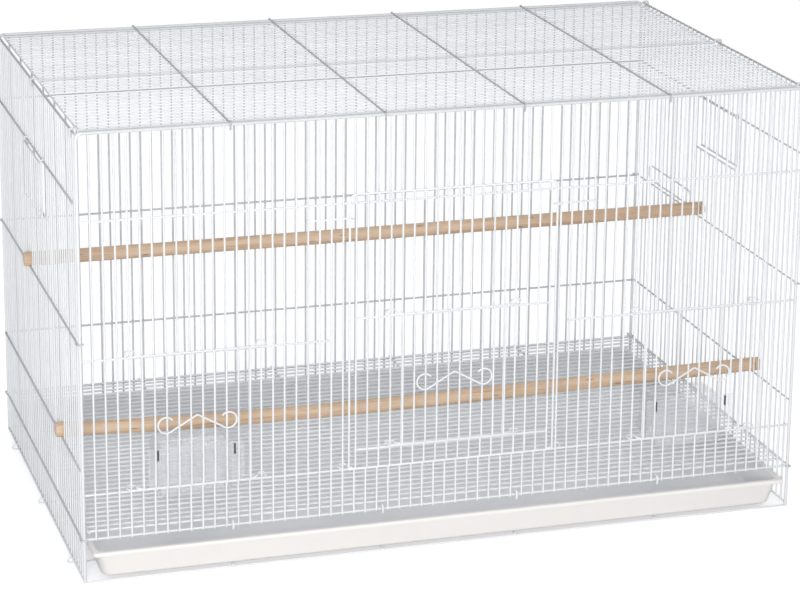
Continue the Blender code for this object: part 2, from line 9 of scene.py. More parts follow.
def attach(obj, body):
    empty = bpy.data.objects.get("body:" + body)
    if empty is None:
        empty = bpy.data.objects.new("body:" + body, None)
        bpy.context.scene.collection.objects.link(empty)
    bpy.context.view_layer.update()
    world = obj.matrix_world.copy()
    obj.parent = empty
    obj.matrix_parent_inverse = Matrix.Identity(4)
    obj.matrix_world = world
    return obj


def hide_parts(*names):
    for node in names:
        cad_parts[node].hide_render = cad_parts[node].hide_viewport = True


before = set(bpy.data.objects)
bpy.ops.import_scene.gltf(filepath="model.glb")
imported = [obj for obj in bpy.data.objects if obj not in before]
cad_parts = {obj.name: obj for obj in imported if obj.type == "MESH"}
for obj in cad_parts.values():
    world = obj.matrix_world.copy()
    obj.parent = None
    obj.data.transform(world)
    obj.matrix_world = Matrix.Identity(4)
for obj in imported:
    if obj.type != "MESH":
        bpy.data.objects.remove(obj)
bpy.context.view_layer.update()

chance = random.Random(7)

# ---------------------------------------------------------------- sizes of the CAD part
PITCH, SPACES_WIDE, SPACES_DEEP, TOP = 0.01205, 63, 38, 0.4600
LEFT, RIGHT = -SPACES_WIDE * PITCH / 2, SPACES_WIDE * PITCH / 2
FRONT = -0.2258
BACK = FRONT + SPACES_DEEP * PITCH
FLOOR_LEVEL, FEED, CUP_HEAD, HEAD = 0.0455, 0.0920, 0.2310, 0.3720
NEST, PERCH, LOW_PERCH = 0.3890, 0.2495, 0.1180
NEST_FOOT = NEST - 0.057
SILL = NEST_FOOT - 0.0025
FOOT = 0.0032
DOOR_FOOT = 0.09415
SMALL_HEIGHT = 0.139
CUP_GUIDE, RIGHT_CUP_GUIDE, SPAN = 4, 48, 11
LARGE_GUIDE, LARGE_END, INNER_GUIDE = 22, 41, 26
LARGE_TOP = 0.3825
LEG_INSET = 0.45            # the large door's side wires past its guides, in spaces
INNER_FOOT, INNER_HEAD = 0.1145, 0.2535
NEST_START, NEST_END = 14, 23
LOOP_START, LOOP_END, LOOP_RADIUS = 23.6, 34.0, 0.0085
CROSS_PLACES = (12.5, 25.5, 37.5, 50.5)
BASE_PLACES = (4.5, 18.5, 32.5)
UPPER_PLACE, LOWER_PLACE, CUP_PLACE = 22.5, 8.5, 9.5
STIFF_PLACES = (1, 19, SPACES_DEEP - 1)
LARGE_LAYER, INNER_LAYER = 0.0042, 0.0048     # doors in front of the front panel's bars
HOOK_DEPTH, INNER_HOOK_DEPTH = 0.0046, 0.0026
ROOF, ROOF_CROSS = 0.46035, 0.4623
GRILLE, GRILLE_CROSS = 0.04975, 0.0478
END_SHARE = 0.9 / 1.95 * 1.6        # of the cross wires' distance, on the other side

# ---------------------------------------------------------------- round wires
# radii
BASE, HOOK, SLIM, FINE = 0.00082, 0.00085, 0.00088, 0.0009
THIN, BARE = 0.00095, 0.00105
RAIL, STIFF, CLAW, POST = 0.0012, 0.00125, 0.0013, 0.0017
# tones: most wires draw a number from 0.5 to 1, the coat's own slight variation, and a lower one is
# greyer: painted shade
EDGE_SHADE_TONE, STIFF_SHADE_TONE, SIDE_SHADE_TONE, CROSS_SHADE_TONE, DARK_SHADE_TONE = 0.36, 0.34, 0.24, 0.22, 0.05
BEHIND = 0.0017             # the front panel's cross wires lie this far behind its bars
BESIDE = 0.00185            # a side panel's outer wires lie this far beside its bars
CROSS_PAST = 0.0012         # the front panel's cross wires end this far past the posts' middles
FRONT_PAST = 0.0011         # the front panel's bars end this far past their outermost welds
PAST = 0.0010               # and other panels' and doors' bars this far
INSIDE_POST = 0.0022        # a side panel's cross wires end this far from the posts' middles
# a cut end, in radii: its face, its edge's width and depth, and how far in the wire is whole
CUT_FACE, CUT_WIDTH, CUT_DEPTH, CUT_WHOLE = 0.55, 0.83, 0.12, 0.45
BOWED, BENT = 0.08, 0.03    # the shortest runs that bow fully, and that bow in four steps
WELD_SWELL = ((-2, 1.0), (-1, 1.07), (0, 1.15), (1, 1.07), (2, 1.0))


def across(place):
    return LEFT + place * PITCH


def inward(place):
    return FRONT + place * PITCH


class Wires:
    """Round wires that make one piece."""

    def __init__(self):
        self.verts, self.faces, self.tones = [], [], []

    def sweep(self, path, radius, swell=None, closed=False, sides=8, tone=None):
        """A tube along points, with softened cut ends; a low tone is a greyer colour, painted
        shade.
        """
        path = [Vector(p) for p in path]
        swell = list(swell or [1.0] * len(path))
        if not closed:
            for end in (0, -1):
                near = path[1] if end == 0 else path[-2]
                along = (near - path[end]).normalized()
                tip = path[end]
                cut = [(tip, CUT_FACE), (tip + along * radius * CUT_DEPTH, CUT_WIDTH)]
                if end:
                    path[-1] = tip + along * radius * CUT_WHOLE
                    path += [p for p, _ in reversed(cut)]
                    swell += [s for _, s in reversed(cut)]
                else:
                    path[0] = tip + along * radius * CUT_WHOLE
                    path = [p for p, _ in cut] + path
                    swell = [s for _, s in cut] + swell
        count = len(path)
        drawn = 0.5 + 0.5 * chance.random()
        tone = drawn if tone is None else tone
        first = len(self.verts)
        side = None
        for i, point in enumerate(path):
            before = path[i - 1] if i or closed else point
            after = path[(i + 1) % count] if i < count - 1 or closed else point
            along = (after - before).normalized()
            if side is None:
                least = min(range(3), key=lambda k: abs(along[k]))
                side = Vector([float(k == least) for k in range(3)])
            side = (side - along * side.dot(along)).normalized()
            other = along.cross(side)
            for k in range(sides):
                angle = 2 * math.pi * k / sides
                reach = side * math.cos(angle) + other * math.sin(angle)
                self.verts.append(point + reach * (radius * swell[i]))
                self.tones.append(tone)
        rings = count if closed else count - 1
        for i in range(rings):
            a, b = first + i * sides, first + (i + 1) % count * sides
            for k in range(sides):
                m = (k + 1) % sides
                self.faces.append((a + k, a + m, b + m, b + k))
        if not closed:
            self.faces.append(tuple(reversed(range(first, first + sides))))
            last = first + (count - 1) * sides
            self.faces.append(tuple(range(last, last + sides)))

    def bar(self, a, b, radius, welds=(), wave=0.00012, sides=8, tone=None):
        """A straight wire that swells where it is welded and bows a little between."""
        a, b = Vector(a), Vector(b)
        length = (b - a).length
        along = (b - a) / length
        stops = {0.0: 1.0, length: 1.0}
        knots = sorted(w for w in welds if 0 < w < length)
        for weld in knots:
            for reach, swell in WELD_SWELL:
                spot = weld + reach * radius
                if 0 < spot < length:
                    stops[spot] = swell
        ends = [0.0, *knots, length]
        side = along.orthogonal().normalized()
        side.rotate(Matrix.Rotation(chance.uniform(0, 6.28), 3, along))
        spans = []
        for lo, hi in zip(ends, ends[1:]):
            amount = chance.uniform(0.2, 1) * wave * min(1, (hi - lo) / BOWED)
            spans.append((lo, hi, amount))
            if hi - lo > BENT:
                for share in (0.25, 0.5, 0.75):
                    stops.setdefault(lo + share * (hi - lo), 1.0)
        path, swell = [], []
        for spot in sorted(stops):
            lo, hi, amount = next(s for s in spans if spot <= s[1])
            bow = math.sin(math.pi * (spot - lo) / max(hi - lo, 1e-6)) * amount
            path.append(a + along * spot + side * bow)
            swell.append(stops[spot])
        self.sweep(path, radius, swell, sides=sides, tone=tone)

    def bent(self, points, radius, bend, closed=False, sides=10, steps=5, tone=None):
        """A wire with rounded bends."""
        path = rounded(points, bend, closed, steps)
        self.sweep(path, radius, closed=closed, sides=sides, tone=tone)

    def shade(self, tone, low):
        """Painted shade: a greyer colour on the frame's upper run."""
        for i, point in enumerate(self.verts):
            if point.z > low and abs(point.x) < RIGHT - 0.004:
                self.tones[i] = tone


def rounded(points, bend, closed=False, steps=5):
    """Points of a path whose corners are rounded."""
    points = [Vector(p) for p in points]
    count = len(points)
    path = []
    for i, point in enumerate(points):
        if not closed and i in (0, count - 1):
            path.append(point)
            continue
        to_before = points[i - 1] - point
        to_after = points[(i + 1) % count] - point
        turn = math.pi - to_before.angle(to_after)
        if turn < 0.02:
            path.append(point)
            continue
        cut = bend * math.tan(turn / 2)
        cut = min(cut, to_before.length * 0.48, to_after.length * 0.48)
        start = point + to_before.normalized() * cut
        end = point + to_after.normalized() * cut
        for step in range(steps + 1):
            t = step / steps
            path.append(start * (1 - t) ** 2 + point * (2 * t * (1 - t)) + end * t * t)
    return path


def make_piece(name, verts, faces, body, nodes, material, tones=None):
    """A mesh that rides on a body and stands for CAD nodes."""
    mesh = bpy.data.meshes.new(name)
    mesh.from_pydata([tuple(v) for v in verts], [], faces)
    mesh.validate()
    mesh.polygons.foreach_set("use_smooth", [True] * len(mesh.polygons))
    if tones:
        mesh.attributes.new("tone", "FLOAT", "POINT").data.foreach_set("value", tones)
    mesh.materials.append(material)
    piece = bpy.data.objects.new(name, mesh)
    bpy.context.scene.collection.objects.link(piece)
    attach(piece, body)
    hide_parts(*nodes)
    return piece


def make_wires(name, wires, body, *nodes):
    return make_piece(
        name, wires.verts, wires.faces, body, nodes, wire_white, wires.tones
    )


# ---------------------------------------------------------------- materials
WHITE = (1, 1, 1)


def new_material(name):
    made = bpy.data.materials.new(name)
    made.use_nodes = True
    nodes, links = made.node_tree.nodes, made.node_tree.links
    return made, nodes, links, nodes["Principled BSDF"]


def noise(nodes, links, where, scale, detail=3.0, rough=0.5):
    made = nodes.new("ShaderNodeTexNoise")
    made.inputs["Scale"].default_value = scale
    made.inputs["Detail"].default_value = detail
    made.inputs["Roughness"].default_value = rough
    links.new(where, made.inputs["Vector"])
    return made.outputs["Fac"]


def ramp(nodes, links, value, stops):
    made = nodes.new("ShaderNodeValToRGB")
    parts = made.color_ramp.elements
    while len(parts) < len(stops):
        parts.new(0.5)
    for part, (place, color) in zip(parts, stops):
        part.position = place
        part.color = (*color, 1)
    links.new(value, made.inputs["Fac"])
    return made.outputs["Color"]


def spread(nodes, links, value, low, high):
    made = nodes.new("ShaderNodeMapRange")
    made.inputs["To Min"].default_value = low
    made.inputs["To Max"].default_value = high
    links.new(value, made.inputs["Value"])
    return made.outputs["Result"]


def bump(nodes, links, height, strength, distance, shader):
    made = nodes.new("ShaderNodeBump")
    made.inputs["Strength"].default_value = strength
    made.inputs["Distance"].default_value = distance
    links.new(height, made.inputs["Height"])
    links.new(made.outputs["Normal"], shader.inputs["Normal"])


def object_place(nodes, links, scale=(1, 1, 1)):
    where = nodes.new("ShaderNodeTexCoord").outputs["Object"]
    made = nodes.new("ShaderNodeMapping")
    made.inputs["Scale"].default_value = scale
    links.new(where, made.inputs["Vector"])
    return made.outputs["Vector"]


def blend(nodes, links, share, first, second, mode="MIX"):
    made = nodes.new("ShaderNodeMix")
    made.data_type = "RGBA"
    made.blend_type = mode
    for value, number in ((share, 0), (first, 6), (second, 7)):
        socket = made.inputs[number]
        if isinstance(value, (float, int)):
            socket.default_value = value
        elif isinstance(value, tuple):
            socket.default_value = (*value, 1)
        else:
            links.new(value, socket)
    return made.outputs[2]


def make_wire_white():
    made, nodes, links, shader = new_material("white_coated_wire")
    where = object_place(nodes, links)
    tone = nodes.new("ShaderNodeAttribute")
    tone.attribute_name = "tone"
    # tones from 0.5 to 1 are the coat's own slight variation; lower tones are painted shade, a
    # greyer colour
    by_wire = ramp(nodes, links, tone.outputs["Fac"], [
        (0, (0.46, 0.465, 0.475)), (0.5, (0.79, 0.80, 0.81)), (1, (0.86, 0.865, 0.875)),
    ])
    cloud = ramp(nodes, links, noise(nodes, links, where, 22), [
        (0.3, (0.955, 0.96, 0.965)), (0.7, WHITE),
    ])
    color = blend(nodes, links, 1.0, by_wire, cloud, "MULTIPLY")
    links.new(color, shader.inputs["Base Color"])
    dull = spread(nodes, links, noise(nodes, links, where, 90), 0.42, 0.58)
    links.new(dull, shader.inputs["Roughness"])
    bump(nodes, links, noise(nodes, links, where, 1400, 2), 0.18, 0.0003, shader)
    shader.inputs["Specular IOR Level"].default_value = 0.3
    return made


def make_tray_white():
    made, nodes, links, shader = new_material("warm_white_plastic")
    where = object_place(nodes, links)
    cloud = noise(nodes, links, where, 6)
    outside = ramp(nodes, links, cloud, [(0.3, (0.835, 0.808, 0.782)), (0.7, (0.86, 0.834, 0.810))])
    # the inside is a cooler, slightly darker white than the outside: painted shade in the tray's
    # hollow
    inside = ramp(nodes, links, cloud, [(0.3, (0.785, 0.795, 0.815)), (0.7, (0.81, 0.82, 0.84))])
    tone = nodes.new("ShaderNodeAttribute")
    tone.attribute_name = "tone"
    color = blend(nodes, links, tone.outputs["Fac"], outside, inside)
    links.new(color, shader.inputs["Base Color"])
    streaks = noise(nodes, links, object_place(nodes, links, (8, 60, 60)), 3, 4)
    links.new(spread(nodes, links, streaks, 0.34, 0.52), shader.inputs["Roughness"])
    bump(nodes, links, noise(nodes, links, where, 700, 3), 0.12, 0.0003, shader)
    return made


def make_wood():
    made, nodes, links, shader = new_material("pale_dowel_wood")
    grain = noise(nodes, links, object_place(nodes, links, (5, 190, 190)), 1.6, 6, 0.6)
    broad = noise(nodes, links, object_place(nodes, links, (2.2, 40, 40)), 1.2, 3)
    fine = noise(nodes, links, object_place(nodes, links, (45, 1500, 1500)), 1.0, 3)
    base = ramp(nodes, links, broad, [
        (0.3, (0.585, 0.410, 0.275)), (0.55, (0.685, 0.505, 0.358)), (0.75, (0.615, 0.44, 0.30)),
    ])
    lines = ramp(nodes, links, grain, [
        (0.30, (0.74, 0.66, 0.58)), (0.45, WHITE), (0.62, WHITE), (0.75, (0.86, 0.80, 0.74)),
    ])
    pores = ramp(nodes, links, fine, [(0.28, (0.72, 0.62, 0.52)), (0.40, WHITE)])
    grained = blend(nodes, links, 1.0, base, lines, "MULTIPLY")
    color = blend(nodes, links, 1.0, grained, pores, "MULTIPLY")
    flecks = nodes.new("ShaderNodeTexVoronoi")
    flecks.inputs["Scale"].default_value = 1.0
    links.new(object_place(nodes, links, (26, 120, 120)), flecks.inputs["Vector"])
    knots = ramp(nodes, links, flecks.outputs["Distance"], [
        (0.05, (0.30, 0.19, 0.11)), (0.16, WHITE),
    ])
    color = blend(nodes, links, 0.75, color, blend(nodes, links, 1.0, color, knots, "MULTIPLY"))
    sawn = blend(nodes, links, 1.0, (0.80, 0.60, 0.50), pores, "MULTIPLY")
    tone = nodes.new("ShaderNodeAttribute")
    tone.attribute_name = "tone"
    color = blend(nodes, links, tone.outputs["Fac"], color, sawn)
    links.new(color, shader.inputs["Base Color"])
    links.new(spread(nodes, links, grain, 0.5, 0.72), shader.inputs["Roughness"])
    bump(nodes, links, grain, 0.25, 0.0004, shader)
    return made


def make_clear():
    """Clear plastic with a slight haze, as a thin moulded cup looks against the light."""
    made, nodes, links, shader = new_material("clear_moulded_plastic")
    where = object_place(nodes, links)
    haze = noise(nodes, links, where, 30)
    tint = ramp(nodes, links, haze, [(0.3, (0.72, 0.73, 0.77)), (0.7, (0.79, 0.80, 0.84))])
    links.new(tint, shader.inputs["Base Color"])
    links.new(spread(nodes, links, haze, 0.12, 0.27), shader.inputs["Alpha"])
    dull = spread(nodes, links, noise(nodes, links, where, 45), 0.05, 0.22)
    links.new(dull, shader.inputs["Roughness"])
    shader.inputs["IOR"].default_value = 1.5
    shader.inputs["Coat Weight"].default_value = 0.6
    shader.inputs["Coat Roughness"].default_value = 0.06
    bump(nodes, links, noise(nodes, links, where, 60, 2), 0.35, 0.0010, shader)
    return made


def make_slit_painted_shade():
    """Painted shade: a near-black colour on the inner edges of a cup's two slots."""
    made, nodes, links, shader = new_material("painted_shade_slot_edge")
    where = object_place(nodes, links)
    tone = ramp(nodes, links, noise(nodes, links, where, 160), [
        (0.3, (0.05, 0.05, 0.055)), (0.7, (0.12, 0.12, 0.13)),
    ])
    links.new(tone, shader.inputs["Base Color"])
    shader.inputs["Roughness"].default_value = 0.4
    bump(nodes, links, noise(nodes, links, where, 500, 2), 0.2, 0.0003, shader)
    return made


wire_white = make_wire_white()
tray_white = make_tray_white()
wood = make_wood()
clear = make_clear()
slit_painted_shade = make_slit_painted_shade()


# ---------------------------------------------------------------- front and back panels
def hook_round(wires, guide, direction, y, guide_y, level, rise, depth=HOOK_DEPTH):
    """A wire that rises from a door's rail and curls round a guide bar."""
    reach = 0.0052
    turn = []
    for angle in (205, 170, 135, 100, 65, 30, -5, -40, -70):
        t = math.radians(angle)
        x = guide + direction * reach * math.cos(t)
        turn_y = guide_y + depth * math.sin(t) - 0.0002
        turn.append((x, turn_y, level + rise * (0.75 + 0.25 * math.sin(t))))
    start = (guide - direction * 0.0115, y, level + 0.0004)
    climb = (guide - direction * 0.0085, y, level + rise * 0.4)
    wires.bent([start, climb, *turn], HOOK, 0.003, steps=2)


def front_bars(wires):
    gaps = [
        (CUP_GUIDE + 1, CUP_GUIDE + SPAN - 1, CUP_HEAD),
        (RIGHT_CUP_GUIDE + 1, RIGHT_CUP_GUIDE + SPAN - 1, CUP_HEAD),
        (LARGE_GUIDE, LARGE_END, HEAD),
    ]
    for place in range(1, SPACES_WIDE):
        over = [head for first, last, head in gaps if first < place < last]
        runs = [(FLOOR_LEVEL, TOP)]
        if over:
            runs = [(FLOOR_LEVEL, FEED), (over[0], TOP)]
        for low, high in runs:
            levels = [z - low for z in (FLOOR_LEVEL, FEED, CUP_HEAD, HEAD, TOP) if low <= z <= high]
            if LARGE_GUIDE <= place <= LARGE_END and low < CUP_HEAD < high:
                levels.remove(CUP_HEAD - low)
            x = across(place)
            ends = (x, FRONT, low - FRONT_PAST), (x, FRONT, high + FRONT_PAST)
            wires.bar(*ends, BARE, [level + FRONT_PAST for level in levels])


def posts(wires, y):
    """Two corner posts and the upper run between them, one bent wire."""
    crown = TOP + 0.0005
    path = [(LEFT, y, 0), (LEFT, y, crown), (RIGHT, y, crown), (RIGHT, y, 0)]
    wires.bent(path, POST, 0.0065, sides=12)
    # painted shade: a greyer colour on the upper run
    wires.shade(EDGE_SHADE_TONE, TOP - 0.0022)


def make_front():
    w = Wires()
    posts(w, FRONT)
    y = FRONT + BEHIND
    for level in (FLOOR_LEVEL, FEED, HEAD):
        w.bar((LEFT - CROSS_PAST, y, level), (RIGHT + CROSS_PAST, y, level), RAIL, sides=10)
    past = 0.0015               # the bars beside the large doorway
    for start, end in (
        (LEFT - CROSS_PAST, across(LARGE_GUIDE - 1) + past),
        (across(LARGE_END + 1) - past, RIGHT + CROSS_PAST),
    ):
        w.bar((start, y, CUP_HEAD), (end, y, CUP_HEAD), RAIL, sides=10)
    front_bars(w)
    make_wires("front_wires", w, "cage", "front_panel")


def make_back():
    w = Wires()
    posts(w, BACK)
    foot_y, cross_y = BACK - 0.0006, BACK - 0.0020
    w.bar((LEFT, foot_y, FOOT), (RIGHT, foot_y, FOOT), RAIL, sides=10)
    levels = (FLOOR_LEVEL, LOW_PERCH, PERCH, NEST)
    for level in levels:
        # painted shade: the cross wires are greyer
        w.bar((LEFT, cross_y, level), (RIGHT, cross_y, level), RAIL, tone=CROSS_SHADE_TONE)
    low, high = FOOT - PAST, TOP + PAST
    welds = [z - low for z in (*levels, FOOT, TOP)]
    for place in range(1, SPACES_WIDE):
        x = across(place)
        # painted shade: the bars are greyer
        w.bar((x, BACK, low), (x, BACK, high), BARE, welds, tone=EDGE_SHADE_TONE)
    make_wires("back_wires", w, "cage", "back_panel")


# ---------------------------------------------------------------- side panels
def make_side(name, x, outward):
    w = Wires()
    clasp = POST + THIN + 0.0005
    edge = x + outward * 0.0006
    first, last = FRONT + INSIDE_POST, BACK - INSIDE_POST
    # painted shade: the upper rail is darker
    for level, tone in ((FOOT, None), (TOP, DARK_SHADE_TONE)):
        w.bar((edge, first, level), (edge, last, level), RAIL, sides=10, tone=tone)
    sill = (x, inward(NEST_START) - 0.0014, SILL), (x, inward(NEST_END) + 0.0014, SILL)
    w.bar(*sill, BARE, sides=10)
    beside = x + outward * BESIDE
    # painted shade: the wires running front to back are greyer
    for level, start in ((NEST, inward(1) - 0.0024), (LOW_PERCH, first)):
        w.bar((beside, start, level), (beside, last, level), BARE, tone=SIDE_SHADE_TONE)
    for level in (PERCH, FLOOR_LEVEL):
        past = x + outward * clasp
        path = [
            (x - outward * clasp, FRONT - clasp * 0.4, level + 0.0010),
            (x - outward * clasp * 0.7, FRONT - clasp, level + 0.0006),
            (past, FRONT - clasp, level),
            (past, FRONT + clasp, level),
            (beside, FRONT + 3 * clasp, level),
            (beside, BACK - 3 * clasp, level),
            (past, BACK - clasp, level),
            (past, BACK + clasp, level),
            (x - outward * clasp * 0.7, BACK + clasp, level + 0.0006),
            (x - outward * clasp, BACK + clasp * 0.4, level + 0.0010),
        ]
        # painted shade: the clasping wires are greyer
        w.bent(path, THIN, 0.0022, sides=8, steps=4, tone=SIDE_SHADE_TONE)
    heavy = (1, NEST_START - 2, NEST_END + 2, SPACES_DEEP - 1)
    crossed = (FOOT, FLOOR_LEVEL, LOW_PERCH, PERCH, NEST, TOP)
    for place in range(1, SPACES_DEEP):
        thick = RAIL if place in heavy else SLIM
        runs = [(FOOT, TOP)]
        if NEST_START < place < NEST_END:
            runs = [(FOOT, SILL), (NEST, TOP)]
        for low, high in runs:
            welds = [z - low + PAST for z in crossed if low <= z <= high]
            ends = (x, inward(place), low - PAST), (x, inward(place), high + PAST)
            w.bar(*ends, thick, welds)
    make_wires(name + "_wires", w, "cage", name)


# ---------------------------------------------------------------- roof, grille and base
def both_sides(half, y):
    """A path in the plane at y, from its right half."""
    return [(-x, y, z) for x, z in reversed(half)] + [(x, y, z) for x, z in half]


def grid(w, level, cross_level, thick):
    """The left-to-right wires, but for the stouter ones, and the two wires at their ends."""
    edge = RIGHT - 0.006
    end_level = level - (cross_level - level) * END_SHARE
    inset = 0.0035
    for x in (-edge, edge):
        w.bar((x, FRONT + inset, end_level), (x, BACK - inset, end_level), BARE)
    past = 0.0012
    reach = edge + past
    welds = [past, *[reach + across(p) for p in CROSS_PLACES], 2 * reach - past]
    for place in range(1, SPACES_DEEP):
        if place in STIFF_PLACES:
            continue
        y = inward(place)
        w.bar((-reach, y, level), (reach, y, level), thick, welds, wave=0.00005)
    return edge


def make_roof():
    w = Wires()
    grid(w, ROOF, ROOF_CROSS, BARE)
    outside = RIGHT + 0.0034
    half = [
        (RIGHT - 0.0045, ROOF), (RIGHT - 0.0022, TOP + 0.0032), (outside, TOP + 0.0030),
        (outside, TOP - 0.0035), (outside - 0.0014, TOP - 0.0048),
    ]
    # painted shade: the stiff bars are greyer
    for place in STIFF_PLACES:
        w.bent(both_sides(half, inward(place)), STIFF, 0.0022, sides=10, tone=STIFF_SHADE_TONE)
    for place in CROSS_PLACES:
        x = across(place)
        path = [
            (x, FRONT - 0.0012, TOP - 0.0046),
            (x, FRONT - 0.0034, TOP - 0.0032),
            (x, FRONT - 0.0032, TOP + 0.0034),
            (x, FRONT + 0.0070, ROOF_CROSS),
            (x, BACK - 0.0070, ROOF_CROSS),
            (x, BACK + 0.0030, TOP + 0.0034),
            (x, BACK + 0.0032, TOP - 0.0032),
            (x, BACK + 0.0012, TOP - 0.0046),
        ]
        # painted shade: the cross wires are darker
        w.bent(path, FINE, 0.0030, sides=10, steps=5, tone=DARK_SHADE_TONE)
    make_wires("roof_wires", w, "cage", "roof_panel")


def make_grille():
    w = Wires()
    edge = grid(w, GRILLE, GRILLE_CROSS, RAIL)
    for place in STIFF_PLACES:
        y = inward(place)
        w.bar((-edge - 0.0014, y, GRILLE), (edge + 0.0014, y, GRILLE), STIFF, sides=10)
    for place in CROSS_PLACES:
        x = across(place)
        path = [
            (x, BACK - 0.0014, GRILLE_CROSS),
            (x, FRONT + 0.0080, GRILLE_CROSS),
            (x, FRONT + 0.0036, GRILLE_CROSS + 0.0022),
            (x, FRONT - 0.0022, GRILLE_CROSS + 0.0024),
            (x, FRONT - 0.0034, GRILLE_CROSS - 0.0010),
            (x, FRONT - 0.0030, GRILLE_CROSS - 0.0042),
            (x, FRONT - 0.0008, GRILLE_CROSS - 0.0062),
        ]
        w.bent(path, CLAW, 0.0024, sides=10, steps=5)
    make_wires("grille_wires", w, "cage", "floor_grille")


def make_base():
    low, high = 0.0009, FOOT + 0.0024
    out = RIGHT + 0.0076
    half = [
        (out - 0.0015, low), (out + 0.0004, (low + high) / 2), (out - 0.0015, high),
        (RIGHT - 0.0022, high + 0.0004),
    ]
    for name, place in zip(("front", "middle", "back"), BASE_PLACES):
        w = Wires()
        w.bent(both_sides(half, inward(place)), BASE, 0.0028, sides=8)
        make_wires("base_" + name, w, "cage", "base_wire_" + name)
    w = Wires()
    level = low + 0.0002
    w.bar((LEFT + 0.002, FRONT, level), (RIGHT - 0.002, FRONT, level), FINE)
    make_wires("base_edge", w, "cage", "floor_wire")
    for number, place in enumerate(CROSS_PLACES, start=1):
        w = Wires()
        x = across(place)
        start = (x, FRONT - 0.0022, 0.0019)
        w.bent([start, (x, FRONT + 0.0005, 0.0030), (x, BACK - 0.0016, 0.0030)], FINE, 0.002)
        make_wires("base_runner_" + str(number), w, "cage", "runner_" + str(number))


# ---------------------------------------------------------------- doors
# a small door: its foot over the wire it rests on, its rails in front of the guides, its
# bars in front of the rails, its handle in front of the bars and above the foot
SMALL_LIFT, SMALL_LAYER, SMALL_BARS = 0.00215, 0.0027, 0.0012
HANDLE_LAYER, HANDLE_RISE = 0.0018, 0.0665


def make_small_door(name, guide, guide_y, foot_wire, body, depth=HOOK_DEPTH):
    w = Wires()
    foot = foot_wire + SMALL_LIFT
    head = foot + SMALL_HEIGHT
    y = guide_y - SMALL_LAYER
    left, right = across(guide), across(guide + SPAN)
    for level in (foot, head):
        w.bar((left - 0.0026, y, level), (right + 0.0026, y, level), RAIL, sides=10)
        rise = 0.0036 if level == foot else 0.0045
        hook_round(w, left, -1, y, guide_y, level, rise, depth)
        hook_round(w, right, 1, y, guide_y, level, rise, depth)
    front_y = y - SMALL_BARS
    for place in range(guide + 1, guide + SPAN):
        x, low, high = across(place), foot - PAST, head + PAST
        w.bar((x, front_y, low), (x, front_y, high), BARE, [PAST, high - low - PAST])
    make_wires(name + "_wires", w, body, name)
    middle = (left + right) / 2
    make_handle(name + "_handle", middle, front_y - HANDLE_LAYER, foot + HANDLE_RISE, body)


def make_handle(name, middle, y, level, body):
    """One wire: a peak in the middle and a curl at each end."""
    w = Wires()
    half, curl, peak = 0.0402, 0.0087, 0.0082
    centre = half - curl
    points = []
    steps = 16
    for step in range(steps + 1):
        angle = math.radians(244 + step * 262 / steps)
        reach = curl * (1 - 0.10 * step / steps)
        points.append((centre + reach * math.cos(angle), reach * math.sin(angle)))
    x, z = points[0]
    top = rounded([(-x, 0, z), (0, 0, peak), (x, 0, z)], 0.003, steps=4)
    path = [(middle - x, y, level + z) for x, z in reversed(points[1:])]
    path += [(middle + p.x, y, level + p.z) for p in top]
    path += [(middle + x, y, level + z) for x, z in points[1:]]
    w.sweep(path, THIN, sides=10)
    make_wires(name + "_wire", w, body, name)


def make_large_door():
    w = Wires()
    y = FRONT - LARGE_LAYER
    left, right = across(LARGE_GUIDE), across(LARGE_END)
    leg = LEG_INSET * PITCH
    arch = [
        (left + leg, y, DOOR_FOOT), (left + leg, y, LARGE_TOP),
        (right - leg, y, LARGE_TOP), (right - leg, y, DOOR_FOOT),
    ]
    w.bent(arch, RAIL, 0.0085, sides=10, steps=7)
    foot = (left + leg - 0.0012, y, DOOR_FOOT), (right - leg + 0.0012, y, DOOR_FOOT)
    w.bar(*foot, RAIL, sides=10)
    first, last = LARGE_GUIDE + 1, LARGE_END - 1
    for level in (INNER_FOOT, INNER_HEAD):
        w.bar((across(first) - 0.0014, y, level), (across(last) + 0.0014, y, level), RAIL, sides=10)
    front_y = y - 0.0009
    crossed = (DOOR_FOOT, INNER_FOOT, INNER_HEAD, LARGE_TOP)
    for place in range(first, last + 1):
        runs = [(DOOR_FOOT, LARGE_TOP)]
        if INNER_GUIDE + 1 < place < INNER_GUIDE + SPAN - 1:
            runs = [(DOOR_FOOT, INNER_FOOT), (INNER_HEAD, LARGE_TOP)]
        for low, high in runs:
            welds = [z - low + PAST for z in crossed if low <= z <= high]
            x = across(place)
            w.bar((x, front_y, low - PAST), (x, front_y, high + PAST), BARE, welds)
    for guide, direction in ((left, -1), (right, 1)):
        hook_round(w, guide, direction, y, FRONT, DOOR_FOOT, 0.0036)
    make_wires("large_door_wires", w, "large_door", "large_door")


def make_catch(name, guide, direction):
    w = Wires()
    level = HEAD - 0.0145
    leg = across(guide) + direction * LEG_INSET * PITCH
    beside = leg + direction * 0.0030
    behind = FRONT - 0.0019
    ahead = FRONT - LARGE_LAYER - 0.0028
    points = [
        (across(guide - direction * 3) - direction * 0.0022, behind, level),
        (beside, behind, level),
        (beside + direction * 0.0004, (behind + ahead) / 2, level),
        (beside, ahead, level),
        (leg - direction * 0.0022, ahead, level),
    ]
    w.bent(points, THIN, 0.0018, sides=8)
    make_wires(name + "_wire", w, "cage", name)


